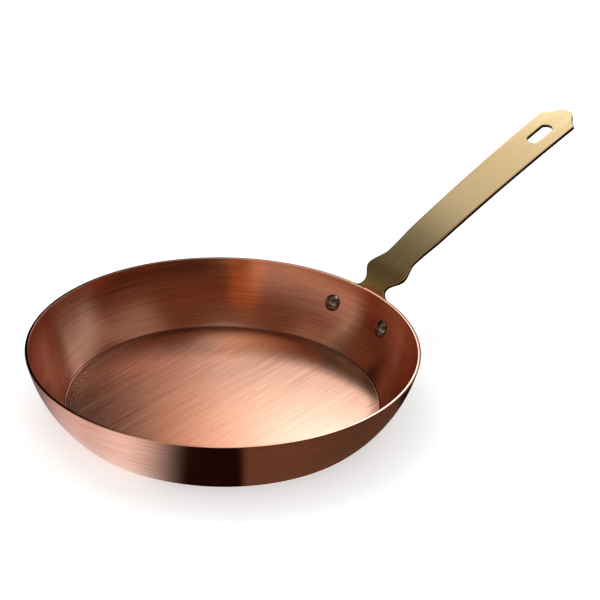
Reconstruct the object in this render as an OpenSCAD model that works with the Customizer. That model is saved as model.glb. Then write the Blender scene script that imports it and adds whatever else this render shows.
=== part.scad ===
// Copper frying pan with a brass strip handle on two rivets.
// Millimetres. The origin is the centre of the base, +Z is up and the handle points along +X.

/* [Pan] */
// Diameter over the rim
pan_d = 260; // [245:1:300]
// Height from the table to the rim
pan_h = 43.5; // [38:0.5:60]
// Diameter of the base, outside
base_d = 210.5; // [180:0.5:226]
// Radius of the wall's outward bow, outside
wall_bow_r = 88; // [75:1:200]
// Thickness of the copper sheet
sheet_t = 2; // [1.2:0.1:3]
// Radius of the inside corner between floor and wall
corner_r = 2; // [0.5:0.1:8]
// Radius of the outside edge of the base
base_edge_r = 1.5; // [0.5:0.1:5]

/* [Handle strip] */
// Thickness of the brass strip
strip_t = 2.5; // [1.5:0.1:4]
// How far below the rim the strip leaves the wall
leave_drop = 11; // [8:0.5:14]
// Radius of the bend that carries the strip out from the wall
bend_r = 36; // [24:1:44]
// Lean of the strip over level at the end of the bend, in degrees
neck_lean = 25.7; // [18:0.1:34]
// Radius of the long downward bow of the grip
grip_bow_r = 1870; // [1200:10:6000]
// Length of the strip along its upper face, from where it leaves the wall to the tip
strip_len = 216.5; // [190:0.5:260]

/* [Handle outline] */
// Length along the strip to the waist
waist_at = 16; // [13:0.5:18]
// Width of the waist
waist_w = 20.6; // [14:0.1:26]
// Length along the strip to the widest place of the shoulders
bulge_at = 28.5; // [24:0.5:34]
// Width of the shoulders
bulge_w = 35; // [29:0.1:42]
// Length along the strip to the throat, where the grip starts
throat_at = 44.5; // [38:0.5:50]
// Width of the throat
throat_w = 25.5; // [20:0.1:29]
// Length of the swell from the throat to the straight sides
swell_len = 30; // [15:1:60]
// Width where the straight sides start
grip_w = 28.7; // [26:0.1:34]
// Width at the corners of the tip
tip_w = 32.6; // [29:0.1:38]
// Radius of the round nose of the tip
nose_r = 11; // [8:0.5:13]
// Half of the angle that the nose turns through, in degrees
nose_turn = 55; // [35:1:65]
// Radius of the hollows beside the nose
cove_r = 19; // [12:1:40]

/* [Hanging slot] */
// Length of the slot
slot_l = 20.5; // [14:0.5:28]
// Width of the slot
slot_w = 10.1; // [6:0.1:12]
// Radius of the slot's ends
slot_end_r = 6.2; // [6.1:0.1:12]
// Distance from the tip to the middle of the slot
slot_back = 29.5; // [24:0.5:40]

/* [Handle foot] */
// Radius of the round lobe about each rivet
lobe_r = 11.5; // [9:0.5:14]
// Radius of the fillets from the waist to the foot
neck_fillet_r = 5.4; // [3:0.1:8]
// Radius of the shallow hollow in the lower edge
scallop_r = 60; // [40:1:200]

/* [Rivets] */
// Distance between the rivets, on the inside of the wall
rivet_gap = 49; // [40:0.5:60]
// How far below the rim the rivets sit
rivet_drop = 17.1; // [15:0.1:24]
// Diameter of the rivet holes
rivet_hole_d = 6; // [4:0.1:8]
// Gap round the shank in its holes
shank_gap = 0.05; // [0.02:0.01:0.2]
// Diameter of the domed head inside the pan
head_d = 11.5; // [9:0.1:14]
// Height of the domed head
head_h = 2.8; // [1.5:0.1:4]
// Diameter of the closed head outside
tail_d = 10; // [8.5:0.1:12]
// Height of the closed head
tail_h = 2; // [1:0.1:3]
// Upright edge of both heads
head_edge = 0.6; // [0.3:0.1:1]

/* [Hidden] */
$fn = 180;

copper = "#b87055";
brass = "#d8b878";
steel = "#4a4a50";

// How far a cut runs past what it cuts
overrun = 1;
// How far a head reaches into the metal before the metal is cut away from it
bedding = 0.8;
// How far one arc of the strip runs on inside the next, so that the two are one piece
seam_lap = 0.5;
// Facets of the long bow, which has a far larger radius than the rest
bow_fn = 1440;
// Steps of each round stretch of an outline
outline_steps = 14;

pan_r = pan_d / 2;
base_r = base_d / 2;

// The wall is one arc, from the edge of the base to the rim
wall_run = pan_r - base_r;
wall_chord = norm([wall_run, pan_h]);
wall_sink = sqrt(pow(wall_bow_r, 2) - pow(wall_chord / 2, 2));
wall_mid = [(pan_r + base_r) / 2, pan_h / 2];
wall_c = wall_mid + wall_sink / wall_chord * [-pan_h, wall_run];
inner_r = wall_bow_r - sheet_t;

// A direction in the plane of a profile
function ray(angle) = [cos(angle), sin(angle)];
// Points along an arc
function arc(centre, r, from, to) =
    [for (i = [0:outline_steps]) centre + r * ray(from + (to - from) * i / outline_steps)];
// The other half of an outline that is even about the x axis
function flipped(points) = [for (i = [len(points) - 1:-1:0]) [points[i].x, -points[i].y]];
// Distance from the pan's axis at a height, on an arc about the wall's centre
function wall_x(z, r) = wall_c.x + sqrt(pow(r, 2) - pow(z - wall_c.y, 2));
// Angle of the wall over level at that height
function wall_lean(z, r) = atan2(wall_x(z, r) - wall_c.x, wall_c.y - z);
// Length of an arc
function arc_len(r, angle) = PI * r * angle / 180;
// Angle of an arc
function arc_angle(r, len) = 180 * len / (PI * r);

// The strip leaves the wall in line with it, bends outward, then runs on in a long bow
leave_z = pan_h - leave_drop;
leave_p = [wall_x(leave_z, wall_bow_r), leave_z];
leave_lean = wall_lean(leave_z, wall_bow_r);
bend_c = leave_p - bend_r * ray(leave_lean + 90);
bend_len = arc_len(bend_r, leave_lean - neck_lean);
bend_end = bend_c + bend_r * ray(neck_lean + 90);
bow_c = bend_end - grip_bow_r * ray(neck_lean + 90);

// Lean of the strip at a length along it
function lean_at(s) =
    s < bend_len ? leave_lean - arc_angle(bend_r, s) : neck_lean - arc_angle(grip_bow_r, s - bend_len);
// Place of the upper face at a length along it
function strip_at(s) =
    s < bend_len ? bend_c + bend_r * ray(lean_at(s) + 90) : bow_c + grip_bow_r * ray(lean_at(s) + 90);

tip_lean = lean_at(strip_len);
waist_lean = lean_at(waist_at);
// How much the strip, curved about the pan's axis, falls away from its middle to its edges at the waist
waist_sag = strip_at(waist_at).x - sqrt(pow(strip_at(waist_at).x, 2) - pow(waist_w / 2, 2));
// Each outline is cut square to one mean lean
foot_lean = (leave_lean + waist_lean) / 2;
grip_lean = (neck_lean + tip_lean) / 2;
// How far a point lies along a mean lean
function along(p, lean) = p * ray(lean);
function grip_u(s) = along(strip_at(s), grip_lean);
slot_at = strip_len - slot_back;

// Rivets stand square to the wall
rivet_z = pan_h - rivet_drop;
rivet_x = wall_x(rivet_z, inner_r);
rivet_turn = asin(rivet_gap / 2 / rivet_x);
rivet_dip = 90 - wall_lean(rivet_z, inner_r);

// Outline of the foot
foot_mid_r = wall_bow_r + strip_t / 2;
rivet_p = wall_c + foot_mid_r * ray(-rivet_dip);
lobe_c = [along([rivet_p.x * cos(rivet_turn), rivet_p.y], foot_lean), rivet_p.x * sin(rivet_turn)];
waist_u = along(strip_at(waist_at), foot_lean);
fillet_c = [waist_u, waist_w / 2 + neck_fillet_r];
// The edge between fillet and lobe is the line that touches both circles
foot_line = lobe_c - fillet_c;
foot_line_turn = atan2(foot_line.y, foot_line.x) + acos((neck_fillet_r + lobe_r) / norm(foot_line));
scallop_turn = asin(lobe_c.y / (scallop_r + lobe_r));
scallop_c = [lobe_c.x - (scallop_r + lobe_r) * cos(scallop_turn), 0];
foot_edge = concat(
    [[waist_u + 2 * overrun, waist_w / 2]],
    arc(fillet_c, neck_fillet_r, 270, foot_line_turn),
    arc(lobe_c, lobe_r, foot_line_turn - 180, 180 + scallop_turn),
    arc(scallop_c, scallop_r, scallop_turn, 0));
foot_turn = rivet_turn + arc_angle(rivet_x, lobe_r + strip_t);

// Outline of the tip: a round nose between two hollows
nose_c = [grip_u(strip_len) - nose_r, 0];
cove_c = nose_c + (nose_r + cove_r) * ray(nose_turn);
corner_turn = 180 + asin((cove_c.y - tip_w / 2) / cove_r);

// A smooth rise from 0 to 1
function ease(share) = (1 - cos(180 * share)) / 2;
// Points of one edge from one length and half width to another
function edge(s0, w0, s1, w1) =
    [for (i = [0:outline_steps - 1])
        let (share = i / outline_steps)
            [grip_u(s0 + (s1 - s0) * share), w0 + (w1 - w0) * ease(share)]];
grip_edge = concat(
    edge(waist_at, waist_w / 2, bulge_at, bulge_w / 2),
    edge(bulge_at, bulge_w / 2, throat_at, throat_w / 2),
    edge(throat_at, throat_w / 2, throat_at + swell_len, grip_w / 2),
    [[grip_u(throat_at + swell_len), grip_w / 2]],
    arc(cove_c, cove_r, corner_turn, 180 + nose_turn),
    arc(nose_c, nose_r, nose_turn, 0));

// The triangle between two directions from a centre
module sector(centre, from, to, reach) {
    polygon([centre, centre + reach * ray(from), centre + reach * ray(to)]);
}

// Both faces of a bent sheet between two directions from the bend's centre
module bent_sheet(centre, r, thickness, from, to) {
    intersection() {
        difference() {
            translate(centre) circle(r = r);
            translate(centre) circle(r = r - thickness);
        }
        sector(centre, from, to, 2 * r);
    }
}

// What a round edge leaves out of a corner of an arc about the wall's centre
module corner_rest(r, edge_z, edge_r) {
    centre = [wall_x(edge_z + edge_r, r - edge_r), edge_z + edge_r];
    turn = atan2(centre.y - wall_c.y, centre.x - wall_c.x);
    reach = 2 * edge_r;
    difference() {
        polygon([
            centre,
            centre + reach * ray(-90),
            centre + reach * ray((turn - 90) / 2) / cos((turn + 90) / 2),
            centre + reach * ray(turn)]);
        translate(centre) circle(r = edge_r);
    }
}

module sheet_profile() {
    difference() {
        intersection() {
            translate(wall_c) circle(r = wall_bow_r);
            square([pan_r, pan_h]);
        }
        corner_rest(wall_bow_r, 0, base_edge_r);
        difference() {
            intersection() {
                translate(wall_c) circle(r = inner_r);
                translate([0, sheet_t]) square([pan_r, pan_h]);
            }
            corner_rest(inner_r, sheet_t, corner_r);
        }
    }
}

// The pan before its holes are drilled
module whole_sheet() {
    rotate_extrude() sheet_profile();
}

// Puts its children on a rivet's axis, with distances counted from the wall's centre; side is 1 or -1
module on_rivet(side) {
    rotate([0, 0, side * rivet_turn])
        translate([wall_c.x, 0, wall_c.y])
            rotate([0, 90 + rivet_dip, 0])
                children();
}

module rivet_holes() {
    for (side = [-1, 1])
        on_rivet(side)
            translate([0, 0, inner_r - bedding])
                cylinder(d = rivet_hole_d, h = sheet_t + strip_t + 2 * bedding);
}

module pan_body() {
    color(copper)
        difference() {
            whole_sheet();
            rivet_holes();
        }
}

// The foot and the lower neck are curved about the pan's axis, as the wall is
module curved_strip() {
    rotate([0, 0, -foot_turn])
        rotate_extrude(angle = 2 * foot_turn) {
            bent_sheet(
                wall_c, wall_bow_r + strip_t, strip_t,
                leave_lean - 90 - foot_turn, leave_lean - 90 + arc_angle(wall_bow_r, seam_lap));
            bent_sheet(
                bend_c, bend_r, strip_t,
                leave_lean + 90, waist_lean + 90 - arc_angle(bend_r, overrun));
        }
}

// The rest of the strip is flat across, and meets the curved end at the mean of its middle and edges
module flat_strip() {
    translate([-waist_sag / 2, 0, 0])
        rotate([90, 0, 0])
            linear_extrude(height = bulge_w + tip_w, center = true) {
                bent_sheet(
                    bend_c, bend_r, strip_t,
                    waist_lean + 90, neck_lean + 90 - arc_angle(bend_r, seam_lap));
                bent_sheet(
                    bow_c, grip_bow_r, strip_t,
                    neck_lean + 90, lean_at(strip_len + overrun) + 90, $fn = bow_fn);
            }
}

// Cuts its 2D children square to a lean, with x counted along it
module square_to(lean) {
    rotate([0, -lean, 0])
        linear_extrude(height = 2 * (pan_d + strip_len), center = true)
            children();
}

module hanging_slot() {
    end_x = slot_l / 2 - slot_end_r;
    rise = slot_end_r - sqrt(pow(slot_end_r, 2) - pow(slot_w / 2, 2));
    translate([grip_u(slot_at), 0]) {
        square([slot_l - 2 * rise, slot_w], center = true);
        for (side = [-1, 1])
            intersection() {
                translate([side * end_x, 0]) circle(r = slot_end_r);
                square([slot_l, slot_w], center = true);
            }
    }
}

// The strip before its holes are drilled
module whole_strip() {
    intersection() {
        curved_strip();
        square_to(foot_lean)
            polygon(concat(foot_edge, flipped(foot_edge)));
    }
    intersection() {
        flat_strip();
        square_to(grip_lean)
            difference() {
                polygon(concat(grip_edge, flipped(grip_edge)));
                hanging_slot();
            }
    }
}

module handle() {
    color(brass)
        difference() {
            whole_strip();
            rivet_holes();
        }
}

// A round head with an upright edge and a domed top; it stands on the plane below it
module domed_head(d, h) {
    dome_h = h - head_edge;
    dome_r = (pow(d / 2, 2) + pow(dome_h, 2)) / (2 * dome_h);
    translate([0, 0, -bedding])
        cylinder(d = d, h = bedding + head_edge);
    translate([0, 0, head_edge])
        rotate_extrude()
            intersection() {
                translate([0, dome_h - dome_r]) circle(r = dome_r);
                square([d / 2, dome_h]);
            }
}

module rivet(side) {
    color(steel) {
        on_rivet(side)
            translate([0, 0, inner_r - bedding])
                cylinder(d = rivet_hole_d - 2 * shank_gap, h = sheet_t + strip_t + 2 * bedding);
        difference() {
            on_rivet(side)
                translate([0, 0, inner_r])
                    mirror([0, 0, 1])
                        domed_head(head_d, head_h);
            whole_sheet();
        }
        difference() {
            on_rivet(side)
                translate([0, 0, wall_bow_r + strip_t])
                    domed_head(tail_d, tail_h);
            whole_strip();
        }
    }
}

module left_rivet() {
    rivet(1);
}

module right_rivet() {
    rivet(-1);
}

pan_body();
handle();
left_rivet();
right_rivet();
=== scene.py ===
# %% [markdown]
# # A brushed copper frying pan
# The pan is one sheet of copper, pressed to a flat floor and a bowed wall, with a flat-cut rim.
# A strip of brass is bent into the handle and held by two steel rivets.
# The solids come from the CAD frame. This script gives them their finish: each piece is made again
# as a fine, smooth surface with the small rounds that catch the light, and gets a brushed metal.

# %% Load the frame
import math
import bmesh
import bpy
import numpy as np
from mathutils import Matrix, Vector


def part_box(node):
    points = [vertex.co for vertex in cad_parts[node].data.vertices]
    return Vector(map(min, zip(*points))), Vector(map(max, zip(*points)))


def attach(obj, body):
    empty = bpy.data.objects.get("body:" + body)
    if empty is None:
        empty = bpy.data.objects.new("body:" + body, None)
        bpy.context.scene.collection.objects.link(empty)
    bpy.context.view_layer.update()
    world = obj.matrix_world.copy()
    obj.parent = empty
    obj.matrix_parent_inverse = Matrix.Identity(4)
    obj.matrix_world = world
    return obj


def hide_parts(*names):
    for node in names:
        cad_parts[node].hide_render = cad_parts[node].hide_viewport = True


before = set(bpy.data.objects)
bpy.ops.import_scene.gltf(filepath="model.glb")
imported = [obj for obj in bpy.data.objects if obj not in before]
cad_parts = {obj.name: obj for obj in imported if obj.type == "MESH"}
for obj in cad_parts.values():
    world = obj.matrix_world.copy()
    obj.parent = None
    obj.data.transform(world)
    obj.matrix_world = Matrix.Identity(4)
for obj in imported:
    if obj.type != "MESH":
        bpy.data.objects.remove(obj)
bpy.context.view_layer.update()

# %% [markdown]
# ## The sizes
# Everything is in metres, in the frame's own axes: the origin is the centre of the base, +Z is up
# and the handle points along +X. The rim's radius and height are read from the frame. The other
# sizes are the ones that the solids have.

# %% The pan's sizes
MM = 0.001
pan_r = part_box("pan_body")[1].x
pan_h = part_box("pan_body")[1].z
base_r = 105.25 * MM
wall_bow_r = 88 * MM
sheet_t = 2 * MM
corner_r = 2 * MM
base_edge_r = 1.5 * MM
rim_edge_r = 0.3 * MM
print("pan", pan_r, "by", pan_h)

# %% The strip's sizes
strip_t = 2.5 * MM
leave_drop = 11 * MM
bend_r = 36 * MM
neck_lean = 25.7
grip_bow_r = 1870 * MM
strip_len = 216.5 * MM
strip_edge_r = 0.45 * MM
print("strip", strip_len, "long and", strip_t, "thick")

# %% [markdown]
# ## Helpers for surfaces
# A surface here is a grid of points worked out as whole arrays. Faces join neighbours in the grid.
# A column can be closed round to the first one, as on a turned piece.

# %% Directions, arcs and grids
def ray(degrees):
    """The unit vector (cos a, sin a) for each angle a."""
    a = np.radians(degrees)
    return np.stack([np.cos(a), np.sin(a)], -1)


def turn_of(vector):
    """The angle of a 2D vector, in degrees."""
    return math.degrees(math.atan2(vector[1], vector[0]))


def arc(centre, r, start, end, steps):
    """Points centre + r (cos a, sin a), with a going evenly from start to end."""
    return np.asarray(centre) + r * ray(np.linspace(start, end, steps + 1))


def grid_quads(index):
    """One quad for each cell of a grid of vertex numbers."""
    a, b, c, d = index[:-1, :-1], index[:-1, 1:], index[1:, 1:], index[1:, :-1]
    return np.stack([a, b, c, d], -1).reshape(-1, 4)


def ease(t):
    """A smooth rise from 0 to 1, 3t^2 - 2t^3, held at 0 before t = 0 and at 1 after t = 1."""
    t = np.clip(t, 0, 1)
    return t * t * (3 - 2 * t)


# %% Arrays into a mesh
def mesh_object(name, points, quads):
    """A mesh object from an (n, 3) array of points and an (m, 4) array of faces.
    A face that names one point twice, as at a pole, becomes a triangle."""
    pole = quads[:, 0] == quads[:, 1]
    end = quads[:, 2] == quads[:, 3]
    faces = quads[~(pole | end)].tolist()
    faces += quads[pole][:, 1:].tolist() + quads[end][:, :3].tolist()
    mesh = bpy.data.meshes.new(name)
    mesh.from_pydata(points.tolist(), [], faces)
    mesh.shade_smooth()
    piece = bpy.data.objects.new(name, mesh)
    bpy.context.scene.collection.objects.link(piece)
    print(name, len(mesh.vertices), "points", len(mesh.polygons), "faces")
    return piece


def set_uv(mesh, name, uv):
    """Add a UV map that gives each corner of a face the value of its point."""
    layer = mesh.uv_layers.new(name=name)
    corner_point = np.empty(len(mesh.loops), np.int32)
    mesh.loops.foreach_get("vertex_index", corner_point)
    layer.data.foreach_set("uv", uv[corner_point].astype(np.float32).ravel())


def centres_of(mesh):
    """The centre of each face, as an (m, 3) array."""
    centre = np.empty(3 * len(mesh.polygons), np.float32)
    mesh.polygons.foreach_get("center", centre)
    return centre.reshape(-1, 3)


# %% [markdown]
# ## The pan's profile
# The wall is one arc from the base to the rim, bowed outwards. The inner face follows the same
# centre at a radius one sheet thinner. Four small rounds join the stretches: the corner inside,
# the edge of the base outside and both edges of the rim. Each round's centre lies at its own
# radius from the two faces that it touches, which gives its place by Pythagoras.

# %% The wall's arc
wall_run = pan_r - base_r
wall_chord = math.hypot(wall_run, pan_h)
wall_sink = math.sqrt(wall_bow_r ** 2 - (wall_chord / 2) ** 2)
wall_c = np.array([(pan_r + base_r) / 2, pan_h / 2])
wall_c = wall_c + wall_sink / wall_chord * np.array([-pan_h, wall_run])
inner_bow_r = wall_bow_r - sheet_t
print("centre of the wall's bow", wall_c)


def wall_x(z, r):
    """Distance from the pan's axis at height z, on the circle of radius r about the wall's centre."""
    return wall_c[0] + math.sqrt(r ** 2 - (z - wall_c[1]) ** 2)


def round_between(z, r):
    """Centre of a round at height z whose centre is r from the wall's centre, and its turn there."""
    centre = np.array([wall_x(z, r), z])
    return centre, turn_of(centre - wall_c)


# %% The whole profile
floor_rings, wall_rings = 24, 34
corner_rings, rim_rings, foot_rings = 8, 4, 6


def pan_profile():
    """The outline of the sheet from the axis over the floor, up the inside, over the rim,
    down the outside and back under the base, as (distance from the axis, height)."""
    corner, corner_turn = round_between(sheet_t + corner_r, inner_bow_r - corner_r)
    inner_rim, inner_turn = round_between(pan_h - rim_edge_r, inner_bow_r + rim_edge_r)
    outer_rim, outer_turn = round_between(pan_h - rim_edge_r, wall_bow_r - rim_edge_r)
    foot, foot_turn = round_between(base_edge_r, wall_bow_r - base_edge_r)
    floor = np.stack([np.linspace(0, corner[0], floor_rings + 1)[:-1],
                      np.full(floor_rings, sheet_t)], -1)
    base = np.stack([np.linspace(foot[0], 0, floor_rings + 1)[1:], np.zeros(floor_rings)], -1)
    return np.concatenate([
        floor,
        arc(corner, corner_r, -90, corner_turn, corner_rings),
        arc(wall_c, inner_bow_r, corner_turn, inner_turn, wall_rings)[1:-1],
        arc(inner_rim, rim_edge_r, inner_turn + 180, 90, rim_rings),
        arc(outer_rim, rim_edge_r, 90, outer_turn, rim_rings),
        arc(wall_c, wall_bow_r, outer_turn, foot_turn, wall_rings)[1:-1],
        arc(foot, base_edge_r, foot_turn, -90, foot_rings),
        base])


# %% [markdown]
# ## The pan
# The profile is turned about the axis. Its first and last points lie on the axis, so the rings
# there are one point each, and the mesh is a closed skin. The rivets fill their holes and their
# heads hide them, so the finished sheet is left whole. Lengths that differ by less than a
# ten-thousandth of a millimetre count as the same.

# %% Turn the profile
touching = 1e-7


def turned(profile, columns):
    """Points and faces of a profile turned about Z: (r cos a, r sin a, z) for even angles a.
    A profile point on the axis becomes one point that the whole ring shares."""
    a = np.arange(columns) * 2 * np.pi / columns
    x = profile[:, :1] * np.cos(a)
    y = profile[:, :1] * np.sin(a)
    z = np.repeat(profile[:, 1:], columns, 1)
    index = np.arange(len(profile) * columns).reshape(len(profile), columns)
    on_axis = profile[:, 0] < touching
    index[on_axis] = index[on_axis][:, :1]
    index = np.concatenate([index, index[:, :1]], 1)
    quads = grid_quads(index)
    used, quads = np.unique(quads, return_inverse=True)
    points = np.stack([x, y, z], -1).reshape(-1, 3)[used]
    return points, quads.reshape(-1, 4)


pan_columns = 600
profile = pan_profile()
pan_points, pan_quads = turned(profile, pan_columns)
pan = mesh_object("copper_pan", pan_points, pan_quads[:, ::-1])

# %% [markdown]
# The floor and the underside were brushed in straight lines, the wall on a turning plate. So the
# floor's UV map runs straight across the pan, along the brushing. The wall needs no map, since its
# brushing follows the turn about Z.

# %% Where the floor's brushing runs
floor_brush_turn = 10.0
brush_along = ray(floor_brush_turn)
brush_across = ray(floor_brush_turn + 90)
set_uv(pan.data, "floor_brush", np.stack([pan_points[:, :2] @ brush_along,
                                           pan_points[:, :2] @ brush_across], -1) / pan_r)
print("the floor was brushed at", floor_brush_turn, "degrees to the handle")

# %% [markdown]
# The sheet has three finishes, and so three materials: the floor with the underside, the wall, and
# the rim's flat edge, which was cut and left smooth. Each could be a mesh of its own. Here the
# faces of one skin are numbered instead, so the sheet stays closed. The floor's finish runs a
# little way up the corner, and a cut edge begins within the small round beside it.

# %% Faces of the floor, the wall and the rim
# The floor's faces reach into the corner's round, so the floor's painted corner shade also darkens the
# lower part of that round.
floor_out, floor_up = 0.8 * corner_r, 0.6 * corner_r
edge_share = 0.6
floor_edge = profile[floor_rings, 0]
pan_centres = centres_of(pan.data)
is_floor = np.hypot(*pan_centres[:, :2].T) < floor_edge + floor_out
is_floor &= pan_centres[:, 2] < sheet_t + floor_up
is_rim = pan_centres[:, 2] > pan_h - edge_share * rim_edge_r
finish = np.where(is_floor, 0, np.where(is_rim, 2, 1))
pan.data.polygons.foreach_set("material_index", finish.astype(np.int32))
print("floor faces", int(is_floor.sum()), "rim faces", int(is_rim.sum()))

# %% [markdown]
# ## The strip's path
# Seen from the side, the strip lies on the wall, leaves it in line with it, bends outwards and
# runs on in a very long bow. A place on the strip is given by its length s along the upper face,
# which is 0 where the strip leaves the wall and negative on the foot, and by its distance w from
# the middle.

# %% The path seen from the side
leave_z = pan_h - leave_drop
leave_p = np.array([wall_x(leave_z, wall_bow_r), leave_z])
leave_lean = turn_of(leave_p - wall_c) + 90
bend_c = leave_p - bend_r * ray(leave_lean + 90)
bend_len = bend_r * math.radians(leave_lean - neck_lean)
bow_c = bend_c + (bend_r - grip_bow_r) * ray(neck_lean + 90)
print("the bend is", bend_len, "long")


def sharp_lean(s):
    """Lean of the strip over level: it grows towards the foot as the wall's arc does, falls
    through the bend at 1 / bend_r, and falls on through the bow at 1 / grip_bow_r."""
    on_wall = leave_lean + np.degrees(s / wall_bow_r)
    on_bend = leave_lean - np.degrees(s / bend_r)
    on_bow = neck_lean - np.degrees((s - bend_len) / grip_bow_r)
    return np.where(s < 0, on_wall, np.where(s < bend_len, on_bend, on_bow))


def sharp_path(s):
    """(distance from the pan's axis, height) of the upper face at length s, on its three arcs."""
    up = ray(sharp_lean(s) + 90)
    on_wall = wall_c - wall_bow_r * up
    on_bend = bend_c + bend_r * up
    on_bow = bow_c + grip_bow_r * up
    s = np.asarray(s)[..., None]
    return np.where(s < 0, on_wall, np.where(s < bend_len, on_bend, on_bow))


# %% [markdown]
# A strip bent over a former passes gently from one arc to the next. So each place on the path is
# the mean over a short window, which opens where the strip has left the wall and closes again
# once it is in the bow.

# %% The eased path
ease_reach = 9 * MM
ease_end = 4 * bend_len
window = np.linspace(-1, 1, 21)


def eased(shape, s):
    """The mean of shape over 21 places from s - h to s + h, where the reach h grows from 0 at
    the wall to ease_reach and falls back to 0 along the grip."""
    s = np.asarray(s, float)
    reach = ease_reach * ease(s / ease_reach) * ease((ease_end - s) / bend_len)
    return shape(s[..., None] + reach[..., None] * window).mean(s.ndim)


def lean_at(s):
    """Lean of the strip over level at length s, in degrees."""
    return eased(sharp_lean, s)


def path_at(s, depth):
    """(distance from the pan's axis, height) at length s and a depth below the upper face."""
    return eased(sharp_path, s) - np.asarray(depth)[..., None] * ray(lean_at(s) + 90)


# %% [markdown]
# The foot is curved about the pan's axis, as the wall is, and the grip is flat across. A smooth
# weight along the neck leads from the one to the other.

# %% A place on the strip
curl_end = 8 * MM
flat_start = 24 * MM


def strip_point(s, w, depth):
    """The point at (s, w, depth): the path's point turned about the pan's axis until it lies w
    from the middle, at (sqrt(r^2 - w^2), w), mixed with the point moved straight sideways by w."""
    r, z = np.moveaxis(path_at(s, depth), -1, 0)
    curled = np.stack([np.sqrt(r ** 2 - w ** 2), w, z], -1)
    flat = np.stack([r, w + 0 * r, z], -1)
    share = ease((s - curl_end) / (flat_start - curl_end))[..., None]
    return curled + (flat - curled) * share


# %% [markdown]
# ## The strip's outline
# Half of the outline is a list of stretches, from the middle of the foot's lower edge to the nose
# of the tip. The foot has a round lobe about each rivet with a shallow hollow between them, and a
# fillet to the waist. The shoulders swell out and in again in even waves, and the tip is a round
# nose between two hollows.

# %% Sizes of the outline
waist_at, waist_w = 16 * MM, 20.6 * MM
bulge_at, bulge_w = 28.5 * MM, 35 * MM
throat_at, throat_w = 44.5 * MM, 25.5 * MM
swell_len, grip_w, tip_w = 30 * MM, 28.7 * MM, 32.6 * MM
nose_r, nose_turn, cove_r = 11 * MM, 55, 19 * MM
lobe_r, neck_fillet_r, scallop_r = 11.5 * MM, 5.4 * MM, 60 * MM
rivet_gap, rivet_drop = 49 * MM, 17.1 * MM
print("waist", waist_w, "shoulders", bulge_w, "throat", throat_w, "tip", tip_w)

# %% Where the rivets stand
rivet_z = pan_h - rivet_drop
rivet_x = wall_x(rivet_z, inner_bow_r)
rivet_turn = math.degrees(math.asin(rivet_gap / 2 / rivet_x))
rivet_dip = turn_of(wall_c - np.array([rivet_x, rivet_z])) - 180
print("rivets turned", rivet_turn, "and dipped", rivet_dip)

# %% Outline of the foot, as seen square to it
line_steps = 40
sag_passes = 4
path_s = np.linspace(-40, 20, 2001) * MM
foot_lean = (leave_lean + float(lean_at(np.array(waist_at)))) / 2
foot_u = path_at(path_s, 0 * path_s) @ ray(foot_lean)


def foot_outline():
    """(s, w) of the foot's half outline. The lobe, the fillet and the hollow are circles in the
    plane square to the foot's mean lean, each touching the next, and each point of that plane
    is carried to the length s where the curved strip has it. The curve about the pan's axis
    draws a point in by its sag, which is put back in a few passes."""
    at_rivet = wall_c + (wall_bow_r + strip_t / 2) * ray(rivet_dip)
    lobe_c = np.array([np.array([at_rivet[0] * math.cos(math.radians(rivet_turn)), at_rivet[1]])
                       @ ray(foot_lean), at_rivet[0] * math.sin(math.radians(rivet_turn))])
    waist_u = float(np.interp(waist_at, path_s, foot_u))
    fillet_c = np.array([waist_u, waist_w / 2 + neck_fillet_r])
    line = lobe_c - fillet_c
    line_turn = turn_of(line) + math.degrees(
        math.acos((neck_fillet_r + lobe_r) / np.hypot(*line)))
    hollow_turn = math.degrees(math.asin(lobe_c[1] / (scallop_r + lobe_r)))
    hollow_c = [lobe_c[0] - (scallop_r + lobe_r) * math.cos(math.radians(hollow_turn)), 0]
    u, w = np.concatenate([
        arc(hollow_c, scallop_r, 0, hollow_turn, line_steps),
        arc(lobe_c, lobe_r, 180 + hollow_turn, line_turn - 180, 2 * line_steps),
        arc(fillet_c, neck_fillet_r, line_turn, 270, line_steps)]).T
    s = np.interp(u, foot_u, path_s)
    for _ in range(sag_passes):
        r = path_at(s, 0 * s)[:, 0]
        sag = r - np.sqrt(r ** 2 - w ** 2)
        s = np.interp(u + sag * math.cos(math.radians(foot_lean)), foot_u, path_s)
    return np.stack([s, w], -1)


# %% Outline of the grip
def wave(s0, w0, s1, w1):
    """An even half wave from one length and full width to another."""
    t = np.linspace(0, 1, line_steps)
    return np.stack([s0 + (s1 - s0) * t, (w0 + (w1 - w0) * (1 - np.cos(np.pi * t)) / 2) / 2], -1)


def grip_outline():
    """(s, w) of the half outline from the waist over the shoulders and along the side to the
    nose. The two circles of the tip touch each other at the nose's turn."""
    nose_c = np.array([strip_len - nose_r, 0])
    cove_c = nose_c + (nose_r + cove_r) * ray(nose_turn)
    corner_turn = 180 + math.degrees(math.asin((cove_c[1] - tip_w / 2) / cove_r))
    return np.concatenate([
        wave(waist_at, waist_w, bulge_at, bulge_w),
        wave(bulge_at, bulge_w, throat_at, throat_w)[1:],
        wave(throat_at, throat_w, throat_at + swell_len, grip_w)[1:],
        arc(cove_c, cove_r, corner_turn, 180 + nose_turn, line_steps),
        arc(nose_c, nose_r, nose_turn, 0, line_steps)[1:]])


# %% [markdown]
# A cut and filed outline has no perfectly sharp corner. The outline is laid out in even steps and
# each point is averaged with its neighbours over about a millimetre, which rounds the corners
# and leaves the long stretches where they were.

# %% Even steps and filed corners
def even_steps(points, step):
    """The same line with its points at even distances along it."""
    length = np.concatenate([[0], np.cumsum(np.hypot(*np.diff(points, axis=0).T))])
    at = np.linspace(0, length[-1], int(length[-1] / step) + 1)
    return np.stack([np.interp(at, length, points[:, 0]), np.interp(at, length, points[:, 1])], -1)


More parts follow.
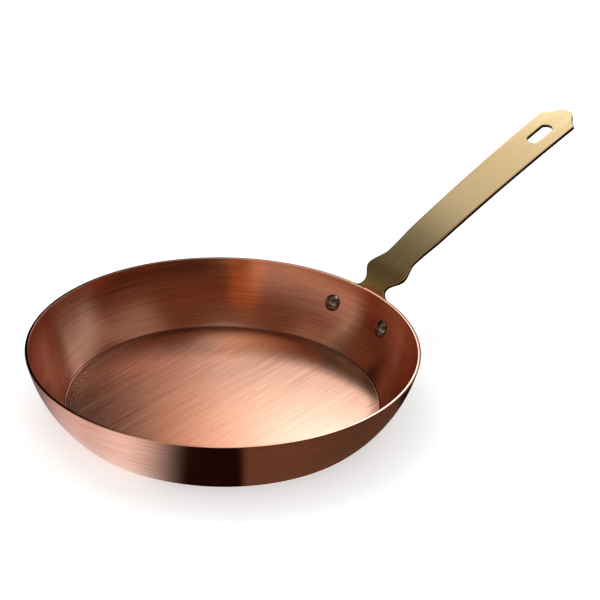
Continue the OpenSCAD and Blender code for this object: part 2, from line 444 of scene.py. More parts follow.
def filed(points, reach):
    """A running mean over reach points, taken twice. The line goes on past both ends as its own
    mirror image, so it still starts and ends on the middle line, square to it."""
    for _ in range(2):
        flip = np.array([1, -1])
        padded = np.concatenate([points[reach:0:-1] * flip, points, points[-2:-reach - 2:-1] * flip])
        kernel = np.ones(reach) / reach
        mean = np.stack([np.convolve(padded[:, k], kernel, "same") for k in (0, 1)], -1)
        points = mean[reach:-reach]
        points[[0, -1], 1] = 0
    return points


outline_step = 0.1 * MM
file_reach = 11
outline = even_steps(np.concatenate([foot_outline(), grip_outline()[1:]]), outline_step)
outline = filed(outline, file_reach)
print("half outline", len(outline), "points, widest", outline[:, 1].max())

# %% [markdown]
# ## The hanging slot
# The slot has straight sides and flatter-than-round ends. It is also a half outline, from one end
# over the side to the other end.

# %% The slot's outline
slot_l, slot_w, slot_end_r = 20.5 * MM, 10.1 * MM, 6.2 * MM
slot_from_nose = 29.5 * MM
slot_at = strip_len - slot_from_nose
slot_c = slot_l / 2 - slot_end_r
print("slot", slot_l, "by", slot_w, "with its middle at", slot_at)


def slot_half_width(d, grow):
    """Half width of the slot at distance d from its middle, with its outline moved outwards by
    grow: the straight side or the end's circle, whichever is the lower."""
    past = np.maximum(np.abs(d) - slot_c, 0)
    end = np.sqrt(np.maximum((slot_end_r + grow) ** 2 - past ** 2, 0))
    return np.minimum(slot_w / 2 + grow, end)


# %% [markdown]
# ## The strip's skin
# The skin has three parts. The edge is a profile of a small round, a flat and another small round,
# carried along the outline. The two faces are rows that run from the edge to the middle line, or
# to the slot where the row meets it. The slot's wall is the same edge profile carried along the
# slot. Everything is worked out in (s, w, depth) for one half, mirrored, and only then bent into
# place.

# %% The stations of the rows
row_step, row_room = 4, 1.5
slot_rows, slot_turn = 12, 54


def normals_of(points):
    """The outward direction at each point of a line that runs from the foot to the tip."""
    along = np.gradient(points, axis=0)
    along /= np.hypot(*along.T)[:, None]
    return np.stack([-along[:, 1], along[:, 0]], -1)


def stations(rim):
    """Where rows start on the half outline, as places counted in its points: every row_step-th
    one, and a cluster of slot_rows at each round end of the slot, even in its turn. A plain row
    within row_room of a row of a cluster is left out."""
    rows = np.arange(0, len(rim), row_step, float)
    turn = np.radians(np.linspace(0, slot_turn, slot_rows))
    reach = slot_c + (slot_end_r + strip_edge_r) * np.cos(turn)
    grip = np.flatnonzero(rim[:, 0] > throat_at)
    at = np.interp(np.concatenate([slot_at - reach, slot_at + reach]), rim[grip, 0], grip)
    near = np.abs(rows[:, None] - at).min(1) < row_room
    return np.unique(np.concatenate([rows[~near], at, [len(rim) - 1]]))


def picked(line, at):
    """The points of a line at places counted in its points, whole or between two."""
    return np.stack([np.interp(at, np.arange(len(line)), line[:, k]) for k in (0, 1)], -1)


outline_out = normals_of(outline)
outline_out[0], outline_out[-1] = (-1, 0), (1, 0)
outline_rim = outline - strip_edge_r * outline_out
row_at = stations(outline_rim)
rim_line = picked(outline_rim, row_at)
edge_out = picked(outline_out, row_at)
edge_out /= np.hypot(*edge_out.T)[:, None]
print("rows", len(row_at))

# %% Where each row ends
creep_share = 0.12


def row_ends():
    """The inner end of each row. On the grip it has the row's own s, at the slot's grown outline
    or on the middle line. On the foot the ends creep along the middle line, by each step's gain
    in s and a small share of its length, so that the rows fan out into the lobe without
    crossing."""
    step = np.diff(rim_line, axis=0)
    foot = rim_line[:, 0] < waist_at
    foot[np.argmax(~foot):] = False
    creep = np.maximum(step[:, 0], 0) + creep_share * np.hypot(*step.T)
    creep = np.concatenate([[0], np.cumsum(creep)])
    last = int(foot.sum())
    s = rim_line[:, 0].copy()
    s[:last] = s[0] + (s[last] - s[0]) * creep[:last] / creep[last]
    w = slot_half_width(s - slot_at, strip_edge_r)
    return np.stack([s, np.where(np.abs(s - slot_at) < slot_reach - touching, w, 0)], -1)


slot_reach = slot_l / 2 + strip_edge_r
inner_line = row_ends()
in_slot = np.flatnonzero(np.abs(inner_line[:, 0] - slot_at) < slot_reach + touching)
print("rows at the slot", len(in_slot))

# %% The edge's profile
edge_rings, face_columns = 5, 14


def edge_profile():
    """(distance out from the face's rim, depth) down the edge: a quarter round, a flat and a
    quarter round."""
    upper = strip_edge_r * ray(np.linspace(90, 0, edge_rings + 1))
    out = np.concatenate([upper[:, 0], upper[::-1, 0]])
    depth = np.concatenate([strip_edge_r - upper[:, 1],
                            strip_t - strip_edge_r + upper[::-1, 1]])
    return out, depth


def carried(line, outward):
    """(s, w, depth) of the edge profile carried along a line: line + out * outward."""
    out, depth = edge_profile()
    sw = line[:, None] + out[None, :, None] * outward[:, None]
    return np.concatenate([sw, np.broadcast_to(depth[None, :, None], sw.shape[:2] + (1,))], -1)


def face_rows(depth):
    """(s, w, depth) of one flat face: even steps from the rim to each row's inner end."""
    t = np.linspace(0, 1, face_columns + 1)[None, :, None]
    sw = rim_line[:, None] * (1 - t) + inner_line[:, None] * t
    return np.concatenate([sw, np.full(sw.shape[:2] + (1,), depth)], -1)


# %% The slot's wall
slot_line = inner_line[in_slot]
slot_side = slot_line[:, 1] > slot_w / 2 + strip_edge_r - touching
to_centre = np.stack([slot_at + np.sign(slot_line[:, 0] - slot_at) * slot_c - slot_line[:, 0],
                      -slot_line[:, 1]], -1)
to_centre /= np.hypot(*to_centre.T)[:, None]
slot_out = np.where(slot_side[:, None], np.array([0.0, -1.0]), to_centre)
print("rows on the slot's straight side", int(slot_side.sum()))

# %% [markdown]
# The parts of both halves are put into one mesh. Points that lie on each other, along the middle
# line and where the parts meet, are merged, and then the faces are turned outwards. The flat of
# the edge was sawn and filed, and no polishing wheel went over it, and it lies in shade. So its
# faces get a second material: dull brass, darkened almost to black with painted shade.

# %% The finished strip
merge_step = 1e-8


def joined(name, patches, place):
    """One closed mesh from grids of (s, w, depth): each grid and its mirror image, placed by
    place(), merged where they meet, with faces pointing outwards. The places along and across
    the strip are kept as a UV map, and faces down the edge have the second material."""
    points, quads, start = [], [], 0
    for patch in patches:
        for side in (1, -1):
            index = start + np.arange(patch[..., 0].size).reshape(patch.shape[:2])
            points.append((patch * [1, side, 1]).reshape(-1, 3))
            quads.append(grid_quads(index))
            start += index.size
    points, quads = np.concatenate(points), np.concatenate(quads)
    keys = np.round(points / merge_step).astype(np.int64)
    _, first, merged = np.unique(keys, axis=0, return_index=True, return_inverse=True)
    points, quads = points[first], merged.reshape(-1)[quads]
    corners = (np.diff(np.sort(quads, 1)) != 0).sum(1) + 1
    faces = [list(dict.fromkeys(quad)) for quad in quads[corners >= 3].tolist()]
    mesh = bpy.data.meshes.new(name)
    mesh.from_pydata(place(*points.T).tolist(), [], faces)
    shell = bmesh.new()
    shell.from_mesh(mesh)
    bmesh.ops.recalc_face_normals(shell, faces=shell.faces)
    open_edges = sum(not e.is_manifold for e in shell.edges)
    shell.to_mesh(mesh)
    shell.free()
    mesh.shade_smooth()
    set_uv(mesh, "along_strip", points[:, :2] / strip_len)
    depth = points[:, 2][np.array([face[:3] for face in faces])].mean(1)
    is_side = np.abs(depth - strip_t / 2) < strip_t / 2 - edge_share * strip_edge_r
    mesh.polygons.foreach_set("material_index", is_side.astype(np.int32))
    piece = bpy.data.objects.new(name, mesh)
    bpy.context.scene.collection.objects.link(piece)
    print(name, len(mesh.vertices), "points", len(mesh.polygons), "faces", open_edges, "open edges")
    return piece


strip = joined("brass_handle",
               [face_rows(0), carried(rim_line, edge_out), face_rows(strip_t),
                carried(slot_line, slot_out)],
               strip_point)

# %% [markdown]
# ## The rivets
# Each rivet has a domed head inside the pan and a flatter closed head on the foot outside. Both
# are turned shapes on the rivet's own axis, which stands square to the wall. The edge of a
# hammered head is soft, so the dome runs into its upright edge through a small round. The joint at
# a head's foot lies in shade, and that shade is painted: the faces next to the sheet or the strip
# get a second, near-black material.

# %% A head's profile
head_d, head_h = 11.5 * MM, 2.8 * MM
tail_d, tail_h = 10 * MM, 2 * MM
head_edge, head_round, bedding = 0.6 * MM, 0.35 * MM, 0.8 * MM
# how close to the sheet's inner face and to the strip's back a head's faces get the painted shade of
# the joint
joint_shade_inside, joint_shade_outside = 0.45 * MM, 0.2 * MM
dome_rings, soft_rings, head_columns = 20, 5, 96


def head_profile(d, h):
    """(distance from the axis, height) of a head: a circle's cap as wide as the head with height
    h - head_edge, on an upright edge, with the corner between them rounded."""
    dome_h = h - head_edge
    dome_r = ((d / 2) ** 2 + dome_h ** 2) / (2 * dome_h)
    dome_c = np.array([0, h - dome_r])
    soft_x = d / 2 - head_round
    soft = np.array([soft_x, dome_c[1] + math.sqrt((dome_r - head_round) ** 2 - soft_x ** 2)])
    meet = turn_of(soft - dome_c)
    return np.concatenate([
        arc(dome_c, dome_r, 90, meet, dome_rings),
        arc(soft, head_round, meet, 0, soft_rings)[1:],
        [[d / 2, -bedding], [0, -bedding]]])


def on_rivet(points, side, start, way):
    """Points of a turned shape moved onto a rivet's axis: height 0 comes to the distance start
    from the wall's centre, and heights grow outwards (way 1) or into the pan (way -1)."""
    tilt = Matrix.Rotation(math.radians(90 - rivet_dip), 3, "Y")
    turn = Matrix.Rotation(math.radians(side * rivet_turn), 3, "Z")
    points = points * [1, way, way] + [0, 0, start]
    placed = points @ np.array(tilt).T + [wall_c[0], 0, wall_c[1]]
    return placed @ np.array(turn).T


def rivet_heads(name, side):
    """Both heads of one rivet in one mesh. A face gets the second material, the painted shade of the
    joint, where it lies within a small distance of the sheet's inner face or of the strip's back."""
    inner_points, inner_quads = turned(head_profile(head_d, head_h), head_columns)
    outer_points, outer_quads = turned(head_profile(tail_d, tail_h), head_columns)
    points = np.concatenate([on_rivet(inner_points, side, inner_bow_r, -1),
                             on_rivet(outer_points, side, wall_bow_r + strip_t, 1)])
    quads = np.concatenate([inner_quads, outer_quads + len(inner_points)])
    heads = mesh_object(name, points, quads[:, ::-1])
    centres = centres_of(heads.data)
    from_bow = np.hypot(np.hypot(*centres[:, :2].T) - wall_c[0], centres[:, 2] - wall_c[1])
    in_joint_shade = from_bow > inner_bow_r - joint_shade_inside
    in_joint_shade &= from_bow < wall_bow_r + strip_t + joint_shade_outside
    heads.data.polygons.foreach_set("material_index", in_joint_shade.astype(np.int32))
    return heads


left_heads = rivet_heads("left_rivet_heads", 1)
right_heads = rivet_heads("right_rivet_heads", -1)

# %% [markdown]
# ## Into the frame
# Each finished piece rides on the frame's one body and stands for its CAD node.

# %% Ride and replace
for piece, node, slot_name in (
        (pan, "pan_body", "copper"), (strip, "handle", "brass"),
        (left_heads, "left_rivet", "rivet_steel"), (right_heads, "right_rivet", "rivet_steel")):
    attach(piece, "root")
    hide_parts(node)
    low, high = piece.bound_box[0], piece.bound_box[6]
    print(piece.name, [round(1000 * x, 2) for x in (*low, *high)])

# %% [markdown]
# ## Brushed metal
# Brushing leaves fine parallel scratches. They stretch a highlight across the scratches, which the
# shader's Anisotropic value does, and they show as hairlines, which noise stretched along the
# brushing does. The hairlines are one node group that all the metals share. Each metal hands it
# coordinates that are already stretched, and gets back a tone for the colour, a tone for the
# roughness and a height for the bump.

# %% The hairline group
def new_group(name, inputs, outputs):
    """An empty node group with a socket for each (label, socket type) of inputs and outputs."""
    group = bpy.data.node_groups.new(name, "ShaderNodeTree")
    for way, sockets in (("INPUT", inputs), ("OUTPUT", outputs)):
        for label, kind in sockets:
            group.interface.new_socket(label, in_out=way, socket_type=kind)
    return group


def add(tree, kind, **settings):
    """A node with some of its properties set."""
    node = tree.nodes.new(kind)
    for key, value in settings.items():
        setattr(node, key, value)
    return node


def noise(tree, vector, scale, detail, roughness):
    """The value of a noise texture at a vector."""
    node = add(tree, "ShaderNodeTexNoise")
    node.inputs["Scale"].default_value = scale
    node.inputs["Detail"].default_value = detail
    node.inputs["Roughness"].default_value = roughness
    tree.links.new(vector, node.inputs["Vector"])
    return node.outputs["Fac"]


def math_node(tree, operation, *values, clamp=False):
    """The output of one sum, whose values are numbers or the outputs of other nodes."""
    node = add(tree, "ShaderNodeMath", operation=operation, use_clamp=clamp)
    for socket, value in zip(node.inputs, values):
        if isinstance(value, (int, float)):
            socket.default_value = value
        else:
            tree.links.new(value, socket)
    return node.outputs[0]


fine_tone, coarse_tone, band_tone = 1.6, 0.7, 0.6
coarse_height = 0.8


def hairline_group():
    """Hairlines from noises on stretched coordinates: a fine one, one four times coarser and one
    about sixteen times coarser for broad bands. Tone is 0.5 plus each noise times its weight, and
    Height is the fine noise plus the coarse one times its weight."""
    group = new_group("hairlines", [("Vector", "NodeSocketVector")],
                      [("Tone", "NodeSocketFloat"), ("Height", "NodeSocketFloat")])
    start, end = add(group, "NodeGroupInput"), add(group, "NodeGroupOutput")
    vector = start.outputs["Vector"]
    fine = noise(group, vector, scale=1, detail=2, roughness=0.6)
    coarse = noise(group, vector, scale=0.25, detail=2, roughness=0.6)
    bands = noise(group, vector, scale=0.06, detail=3, roughness=0.55)
    fine, coarse, bands = (math_node(group, "SUBTRACT", value, 0.5) for value in (fine, coarse, bands))
    tone = math_node(group, "MULTIPLY_ADD", fine, fine_tone, 0.5)
    tone = math_node(group, "MULTIPLY_ADD", coarse, coarse_tone, tone)
    tone = math_node(group, "MULTIPLY_ADD", bands, band_tone, tone, clamp=True)
    height = math_node(group, "MULTIPLY_ADD", coarse, coarse_height, fine)
    group.links.new(tone, end.inputs["Tone"])
    group.links.new(height, end.inputs["Height"])
    return group


hairlines = hairline_group()
print("the hairlines take", len(hairlines.nodes), "nodes")

# %% [markdown]
# Every metal here follows one recipe. Its colour and its roughness swing with the hairlines' tone,
# the height makes a slight relief, and the tangent tells the shader which way the brushing runs:
# along a UV map where there is one, and otherwise round the Z axis.

# %% A metal
across_brushing = 0.25


def metal(name, dark, light, stretch, roughness, spread, anisotropy, bump, turn=0, uv=None):
    """A brushed metal. dark and light are the ends of its colour, stretch is the number of
    hairlines per metre along X, Y and Z, spread is how far the roughness swings, bump is the
    relief's height in millimetres, turn is the brushing's angle about Z, and uv names the map
    whose U runs along the brushing."""
    material = bpy.data.materials.new(name)
    material.use_nodes = True
    tree = material.node_tree
    shader = tree.nodes["Principled BSDF"]
    shader.inputs["Metallic"].default_value = 1
    shader.inputs["Anisotropic"].default_value = anisotropy
    shader.inputs["Anisotropic Rotation"].default_value = across_brushing
    coords = add(tree, "ShaderNodeTexCoord", name="coords")
    turned_coords = add(tree, "ShaderNodeVectorRotate", rotation_type="Z_AXIS")
    turned_coords.inputs["Angle"].default_value = -math.radians(turn)
    tree.links.new(coords.outputs["Object"], turned_coords.inputs["Vector"])
    mapping = add(tree, "ShaderNodeMapping")
    mapping.inputs["Scale"].default_value = stretch
    tree.links.new(turned_coords.outputs[0], mapping.inputs["Vector"])
    lines = add(tree, "ShaderNodeGroup", node_tree=hairlines, name="lines")
    tree.links.new(mapping.outputs[0], lines.inputs["Vector"])
    colour = add(tree, "ShaderNodeMix", data_type="RGBA", name="colour")
    colour.inputs["A"].default_value = (*dark, 1)
    colour.inputs["B"].default_value = (*light, 1)
    tree.links.new(lines.outputs["Tone"], colour.inputs["Factor"])
    tree.links.new(colour.outputs["Result"], shader.inputs["Base Color"])
    rough = add(tree, "ShaderNodeMapRange")
    rough.inputs["To Min"].default_value = roughness - spread
    rough.inputs["To Max"].default_value = roughness + spread
    tree.links.new(lines.outputs["Tone"], rough.inputs["Value"])
    tree.links.new(rough.outputs[0], shader.inputs["Roughness"])
    relief = add(tree, "ShaderNodeBump")
    relief.inputs["Strength"].default_value = 1
    relief.inputs["Distance"].default_value = bump * MM
    tree.links.new(lines.outputs["Height"], relief.inputs["Height"])
    tree.links.new(relief.outputs[0], shader.inputs["Normal"])
    if uv:
        tangent = add(tree, "ShaderNodeTangent", direction_type="UV_MAP", uv_map=uv)
    else:
        tangent = add(tree, "ShaderNodeTangent", direction_type="RADIAL", axis="Z")
    tree.links.new(tangent.outputs[0], shader.inputs["Tangent"])
    return material


# %% [markdown]
# The floor and the wall are the same copper, brushed in two ways. The rim's cut edge is smoother
# and has no brushing that would stretch the light.

# %% The copper of the pan
copper_dark = (0.72, 0.38, 0.26)
copper_light = (0.92, 0.61, 0.48)
round_lines = (30, 30, 1100)
floor_metal = metal("copper_brushed_straight", (0.74, 0.41, 0.29), (0.93, 0.61, 0.47),
                    stretch=(25, 1000, 1), roughness=0.2, spread=0.02, anisotropy=0.8, bump=0.012,
                    turn=floor_brush_turn, uv="floor_brush")
wall_metal = metal("copper_brushed_round", copper_dark, copper_light, stretch=round_lines,
                   roughness=0.22, spread=0.02, anisotropy=0.8, bump=0.009)
rim_metal = metal("copper_cut_edge", copper_dark, copper_light, stretch=round_lines,
                  roughness=0.1, spread=0.02, anisotropy=0, bump=0.001)

# %% [markdown]
# The floor mirrors the shaded wall in a dark, ragged band just before the corner, and that band is
# painted into the floor's colour as shade. Such a ring could be painted by hand. Here the colour
# falls off towards the corner's circle, and the hairlines' tone, which differs from stroke to
# stroke, makes the ring ragged.

# %% The painted shade in the corner
ragged_share = 0.7


def paint_corner_shade(material, edge, reach, shade):
    """Paint shade into the colour: let it fall off to shade towards the circle of radius edge about Z.
    The fall begins at a reach within it, at a distance that swings with the hairlines' tone."""
    tree = material.node_tree
    flat = add(tree, "ShaderNodeVectorMath", operation="MULTIPLY")
    flat.inputs[1].default_value = (1, 1, 0)
    tree.links.new(tree.nodes["coords"].outputs["Object"], flat.inputs[0])
    length = add(tree, "ShaderNodeVectorMath", operation="LENGTH")
    tree.links.new(flat.outputs[0], length.inputs[0])
    swing = math_node(tree, "MULTIPLY_ADD", tree.nodes["lines"].outputs["Tone"],
                      ragged_share * reach, -ragged_share / 2 * reach)
    place = math_node(tree, "ADD", length.outputs["Value"], swing)
    fall = add(tree, "ShaderNodeMapRange", interpolation_type="SMOOTHSTEP")
    fall.inputs["From Min"].default_value = edge - reach
    fall.inputs["From Max"].default_value = edge
    tree.links.new(place, fall.inputs["Value"])
    shaded = add(tree, "ShaderNodeMix", data_type="RGBA", blend_type="MULTIPLY")
    shaded.inputs["B"].default_value = (*shade, 1)
    tree.links.new(fall.outputs[0], shaded.inputs["Factor"])
    tree.links.new(tree.nodes["colour"].outputs["Result"], shaded.inputs["A"])
    tree.links.new(shaded.outputs["Result"], tree.nodes["Principled BSDF"].inputs["Base Color"])


# painted shade at the corner: how far in it begins and the colour it falls to
corner_shade_reach, corner_shade_colour = 9 * MM, (0.4, 0.3, 0.27)
paint_corner_shade(floor_metal, floor_edge, corner_shade_reach, corner_shade_colour)
print("the ring lies between", floor_edge - corner_shade_reach, "and", floor_edge)

# %% [markdown]
# The strip's brass was brushed along its length. The sawn flat of its edge has the same lines, but
# it is dull and darkened with painted shade. The rivets are polished steel, with painted shade at
# their feet darker still.

# %% The brass of the strip and the steel of the rivets
brass_lines, steel_spots = (30, 1300, 30), (300, 300, 300)
brass_metal = metal("brass_brushed", (0.74, 0.57, 0.31), (0.87, 0.67, 0.38), stretch=brass_lines,
                    roughness=0.2, spread=0.02, anisotropy=0.5, bump=0.004, uv="along_strip")
# dull sawn brass, with painted shade that makes it almost black
dull_and_shaded_edge_metal = metal("brass_cut_edge_painted_shade", (0.10, 0.075, 0.04), (0.16, 0.12, 0.06), stretch=brass_lines,
                  roughness=0.3, spread=0.03, anisotropy=0, bump=0.004, uv="along_strip")
steel_metal = metal("rivet_steel_polished", (0.16, 0.22, 0.26), (0.42, 0.50, 0.56),
                    stretch=steel_spots, roughness=0.1, spread=0.03, anisotropy=0, bump=0.004)
# painted shade for the joint at each head's foot
joint_shade_metal = metal("rivet_steel_painted_shade", (0.02, 0.015, 0.01), (0.05, 0.04, 0.03),
                    stretch=steel_spots, roughness=0.5, spread=0.05, anisotropy=0, bump=0.004)

# %% Each piece gets its metals
for piece, metals in ((pan, (floor_metal, wall_metal, rim_metal)), (strip, (brass_metal, dull_and_shaded_edge_metal)),
                      (left_heads, (steel_metal, joint_shade_metal)),
                      (right_heads, (steel_metal, joint_shade_metal))):
    for one in metals:
        piece.data.materials.append(one)
    print(piece.name, [one.name for one in metals])

# %% [markdown]
# ## The camera
# A long lens from well above the rim, turned so that the handle points away to the right. The
# camera stands on a line from the rim's centre, aims a little beyond it and rolls by about a
# degree and a half.

# %% Place the camera
camera_turn = -40.3
camera_rise = 28.71
camera_far = 1.7746
aim = Vector((0.08265, 0.01749, pan_h))
roll = 1.58
camera_data = bpy.data.cameras.new("camera")
camera_data.sensor_width = 36
camera_data.lens = 162
camera = bpy.data.objects.new("camera", camera_data)
bpy.context.scene.collection.objects.link(camera)
a, e = math.radians(camera_turn), math.radians(camera_rise)
camera.location = Vector((0, 0, pan_h)) + camera_far * Vector(
    (math.sin(a) * math.cos(e), -math.cos(a) * math.cos(e), math.sin(e)))
facing = (aim - camera.location).to_track_quat("-Z", "Y").to_matrix()
camera.rotation_euler = (facing @ Matrix.Rotation(math.radians(roll), 3, "Z")).to_euler()
bpy.context.scene.camera = camera
print("camera at", list(camera.location))

# %% [markdown]
# ## The studio
# Places in the studio are given as the camera sees them: right, away and up from the middle of
# the base. The floor is plain and pale and keeps the pan's shadow. Camera and metal see it, and
# the world, as white. The floor is see-through from below, so that the underside can be looked
# at.

# %% Places as the camera sees them
def studio(right, away, up):
    """Points of the studio in the frame's axes: right and away turned by the camera's angle."""
    a = math.radians(camera_turn)
    return np.stack(np.broadcast_arrays(right * math.cos(a) - away * math.sin(a),
                                        right * math.sin(a) + away * math.cos(a), up), -1)


def studio_ray(turn, rise, far):
    """Points far from the middle, turned from the right towards away and raised, in degrees."""
    t, e = np.radians(turn), np.radians(rise)
    return studio(far * np.cos(t) * np.cos(e), far * np.sin(t) * np.cos(e), far * np.sin(e))


def surface(name, points, faces, material):
    """A mesh of the studio, which isn't part of the object."""
    mesh = bpy.data.meshes.new(name)
    mesh.from_pydata(points, [], faces)
    mesh.materials.append(material)
    piece = bpy.data.objects.new(name, mesh)
    bpy.context.scene.collection.objects.link(piece)
    return piece


# %% The white that camera and metal see
def seen_white(tree):
    """1 for camera, glossy and transmission rays, and 0 for the diffuse rays that carry light."""
    path = add(tree, "ShaderNodeLightPath")
    seen = math_node(tree, "MAXIMUM", path.outputs["Is Camera Ray"], path.outputs["Is Glossy Ray"])
    return math_node(tree, "MAXIMUM", seen, path.outputs["Is Transmission Ray"])


# %% The floor
floor_half = 4
floor_glow = 0.5
floor_paint = bpy.data.materials.new("floor_paint")
floor_paint.use_nodes = True
tree = floor_paint.node_tree
paint = tree.nodes["Principled BSDF"]
paint.inputs["Base Color"].default_value = (0.8, 0.8, 0.8, 1)
paint.inputs["Roughness"].default_value = 0.9
paint.inputs["Specular IOR Level"].default_value = 0
paint.inputs["Emission Color"].default_value = (1, 1, 1, 1)
tree.links.new(math_node(tree, "MULTIPLY", seen_white(tree), floor_glow),
               paint.inputs["Emission Strength"])
clear = add(tree, "ShaderNodeBsdfTransparent")
side = add(tree, "ShaderNodeNewGeometry")
either = add(tree, "ShaderNodeMixShader")
tree.links.new(side.outputs["Backfacing"], either.inputs["Fac"])
tree.links.new(paint.outputs[0], either.inputs[1])
tree.links.new(clear.outputs[0], either.inputs[2])
tree.links.new(either.outputs[0], tree.nodes["Material Output"].inputs["Surface"])
surface("floor", [(-floor_half, -floor_half, 0), (floor_half, -floor_half, 0),
                  (floor_half, floor_half, 0), (-floor_half, floor_half, 0)],
        [(0, 1, 2, 3)], floor_paint)
print("the floor is", 2 * floor_half, "square")

# %% The world
room_light = 0.75
world = bpy.data.worlds.new("studio")
world.use_nodes = True
tree = world.node_tree
tree.nodes["Background"].inputs["Color"].default_value = (1, 1, 1, 1)
level = add(tree, "ShaderNodeMapRange")
level.inputs["To Min"].default_value = room_light
tree.links.new(seen_white(tree), level.inputs["Value"])
tree.links.new(level.outputs[0], tree.nodes["Background"].inputs["Strength"])
bpy.context.scene.world = world
print("the room lights with", room_light)

# %% [markdown]
# Bare white all round makes brushed metal look like chalk. So the pan stands in a tent of brown
# paper that only the metal sees, with soft patches of light on it: one round sheet far off, a
# near sheet behind the pan and a sheet on the table round it. They could be area lamps, but paint
# has softer edges and can be dark, too.

# %% Painted sheets
def paint_on(x, y, patches):
    """The sum of soft patches. Each is the places across and up where its mask rises and falls
    half way, each with the width of that edge, and a colour."""
    total = np.zeros((len(x), 4))
    total[:, 3] = 1
    for across, up, colour in patches:
        mask = 1
        for value, (start, start_soft, end, end_soft) in ((x, across), (y, up)):
            mask = mask * ease((value - start) / start_soft + 0.5)
            mask = mask * ease((end - value) / end_soft + 0.5)
        total[:, :3] += mask[:, None] * np.array(colour)
    return total


def sheet_material():
    """Paper that glows with the colour painted on its points."""
    material = bpy.data.materials.new("painted_paper")
    material.use_nodes = True
    tree = material.node_tree
    tree.nodes.clear()
    glow = add(tree, "ShaderNodeEmission")
    paint = add(tree, "ShaderNodeAttribute", attribute_name="paint")
    tree.links.new(paint.outputs["Color"], glow.inputs["Color"])
    tree.links.new(glow.outputs[0], add(tree, "ShaderNodeOutputMaterial").inputs["Surface"])
    return material


sheet_paper = sheet_material()


def painted_sheet(name, place, across, up, patches):
    """A sheet that only the metal sees: a grid of place(across, up) with its painted colours."""
    x, y = (grid.ravel() for grid in np.meshgrid(across, up))
    index = np.arange(x.size).reshape(len(up), len(across))
    piece = surface(name, place(x, y).tolist(), grid_quads(index).tolist(), sheet_paper)
    paint = piece.data.color_attributes.new("paint", "FLOAT_COLOR", "POINT")
    paint.data.foreach_set("color", paint_on(x, y, patches).astype(np.float32).ravel())
    piece.visible_camera = False
    piece.visible_diffuse = False
    piece.visible_shadow = False
    piece.visible_transmission = False
    print(name, x.size, "painted points")


# %% [markdown]
# Each patch below is one sheet of paper or one lamp in the tent: where it lies across, where it
# lies up, and its colour. The tent is measured by turn and rise in degrees, the near sheet by
# metres right and up, and the table by turn and by metres from the middle. All of the table's
# colours reach equally far and fade out beyond half a metre. A comment says what each patch is for.

# %% What is painted on them
tent_far, back_away, table_lift = 1.5, 0.65, 0.4 * MM
table_reach = (-1, 1, 1, 1)
tent_patches = [
    # brown paper all round, paler overhead and white straight above
    ((-110, 9, 290, 9), (14, 10, 65, 16), (0.15, 0.052, 0.026)),
    ((-110, 9, 290, 9), (65, 12, 110, 9), (0.15, 0.09, 0.05)),
    ((-110, 9, 290, 9), (82, 8, 110, 9), (0.8, 1.15, 1.25)),
    ((100, 30, 300, 20), (72, 12, 110, 9), (0.4, 0.35, 0.3)),
    ((-110, 20, -72, 16), (72, 12, 110, 9), (0.4, 0.35, 0.3)),
    # a greener paper behind on the left, for the strip's bend and the wall by the rivets
    ((112, 12, 172, 8), (36, 8, 62, 10), (-0.03, 0.05, 0.035)),
    ((168, 5, 181, 5), (20, 8, 38, 8), (-0.01, 0.03, 0.02)),
    # a thin strip of light on the left with a faint glow beside it, for the wall by the rivets
    ((179.5, 1, 181.5, 1), (16, 8, 45, 8), (0.5, 0.4, 0.32)),
    ((182, 4, 196, 8), (8, 8, 34, 8), (0.04, 0.025, 0.02)),
    # light low on the left and in front, and higher up on the left
    ((178, 20, 254, 12), (-20, 9, 12, 8), (0.85, 0.5, 0.37)),
    ((174, 14, 254, 12), (12, 8, 30, 10), (0.2, 0.18, 0.165)),
    ((165, 14, 205, 14), (40, 12, 65, 12), (0.16, 0.12, 0.09)),
    # an orange strip in front, for the glow in the far wall
    ((246, 6, 266, 6), (-4, 8, 45, 8), (0.26, 0.07, 0.005)),
    # light on the right, for the wall on the left
    ((-34, 24, 8, 12), (30, 16, 62, 12), (0.2, 0.18, 0.16)),
    ((2, 20, 60, 18), (-20, 9, 31, 14), (0.38, 0.39, 0.36)),
    ((30, 12, 60, 18), (24, 12, 50, 12), (0.2, 0.15, 0.11))]
back_patches = [
    # three lamps that overlap, warm on the left and cold on the right, for the pan's floor
    ((-0.05, 0.1, 0.2, 0.1), (0.36, 0.05, 0.6, 0.08), (1.05, 0.52, 0.33)),
    ((0.005, 0.09, 0.2, 0.1), (0.36, 0.05, 0.6, 0.08), (0.9, 1.1, 1.15)),
    ((0.08, 0.08, 0.2, 0.1), (0.42, 0.06, 0.58, 0.06), (1.4, 2.0, 2.2)),
    # a lamp for the grip, which fades on the left to olive paper for the neck
    ((-0.17, 0.12, 0.2, 0.1), (0.62, 0.1, 0.95, 0.15), (0.9, 0.9, 0.86)),
    ((-0.28, 0.12, -0.17, 0.12), (0.62, 0.1, 1.0, 0.15), (0.17, 0.17, 0.14)),
    ((-0.9, 0.1, -0.26, 0.12), (0.5, 0.15, 1.2, 0.1), (0.068, 0.062, 0.036)),
    # a wide lamp on the right
    ((0.38, 0.1, 1.4, 0.2), (0.3, 0.1, 0.62, 0.1), (0.6, 0.43, 0.4))]
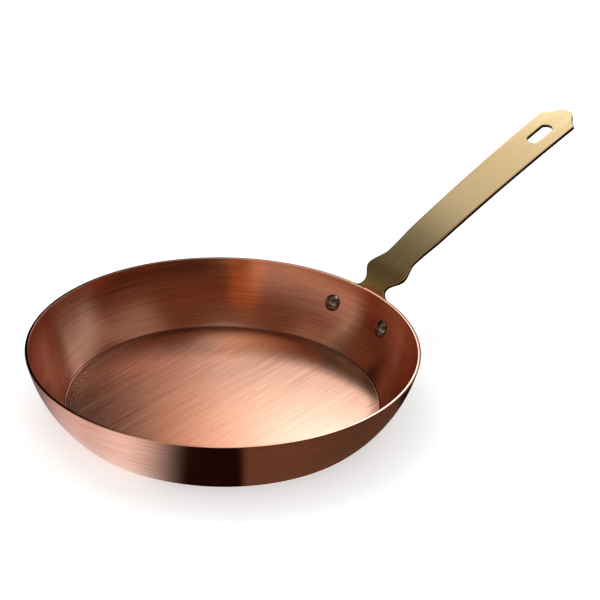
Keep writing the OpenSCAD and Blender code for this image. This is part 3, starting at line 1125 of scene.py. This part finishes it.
table_patches = [
    # pale cloth in front on the left, for the pan's outside, then near-black and brown wood
    ((-162, 36, -114, 26), table_reach, (0.75, 0.63, 0.62)),
    ((-136, 18, -114, 24), table_reach, (0.27, 0.29, 0.3)),
    ((-290, 9, 110, 9), table_reach, (0.012, 0.003, 0.002)),
    ((-82.5, 4, -8, 9), table_reach, (0.1, 0.055, 0.035)),
    ((-82.5, 4, -50, 40), table_reach, (0.04, 0.02, 0.01)),
    # grey cloth behind the pan and, duller, on its left
    ((-330, 40, -250, 30), table_reach, (0.42, 0.37, 0.36)),
    ((-250, 30, -150, 40), table_reach, (0.26, 0.21, 0.21)),
    ((52, 20, 130, 20), table_reach, (0.42, 0.37, 0.36))]


# %% Where they hang
def on_tent(turn, rise):
    """A place on the round sheet."""
    return studio_ray(turn, rise, tent_far)


def on_back(right, up):
    """A place on the upright sheet behind the pan."""
    return studio(right, back_away, up)


def on_table(turn, far):
    """A place on the sheet that lies a hair above the floor."""
    return studio_ray(turn, 0, far) + np.array([0, 0, table_lift])


tent_turns, tent_rises = np.linspace(-90, 270, 181), np.linspace(0, 90, 46)
back_rights, back_ups = np.linspace(-0.8, 1, 91), np.linspace(0.02, 1.1, 55)
table_turns, table_fars = np.linspace(-270, 90, 361), np.linspace(0.06, tent_far, 9)
painted_sheet("tent", on_tent, tent_turns, tent_rises, tent_patches)
painted_sheet("back_sheet", on_back, back_rights, back_ups, back_patches)
painted_sheet("table_sheet", on_table, table_turns, table_fars, table_patches)

# %% [markdown]
# The world alone would give a shadow with no direction. One soft lamp above and behind the pan adds
# a gentle one. The metal doesn't see the lamp, since it has the tent.

# %% A softbox
def softbox(name, place, target, width, height, strength):
    """A rectangular area lamp whose surface is as bright as the strength says: an even lamp of
    area A and power P has the brightness P / (pi A)."""
    data = bpy.data.lights.new(name, "AREA")
    data.shape = "RECTANGLE"
    data.size, data.size_y = width, height
    data.energy = strength * math.pi * width * height
    light = bpy.data.objects.new(name, data)
    light.location = place
    light.rotation_euler = Vector(target - place).to_track_quat("-Z", "Y").to_euler()
    light.visible_camera = False
    bpy.context.scene.collection.objects.link(light)
    return light


mid_pan = np.array([0, 0, 0.02])
room_box = softbox("room_box", studio(-0.3, 0.5, 1.4), mid_pan, width=0.9, height=0.9, strength=1.2)
room_box.visible_glossy = False
print("the softbox gives", round(room_box.data.energy, 2), "W")

# %% [markdown]
# ## Finish
# The plain view transform keeps colours as they are written.

# %% Set the view transform
bpy.context.scene.view_settings.view_transform = "Standard"
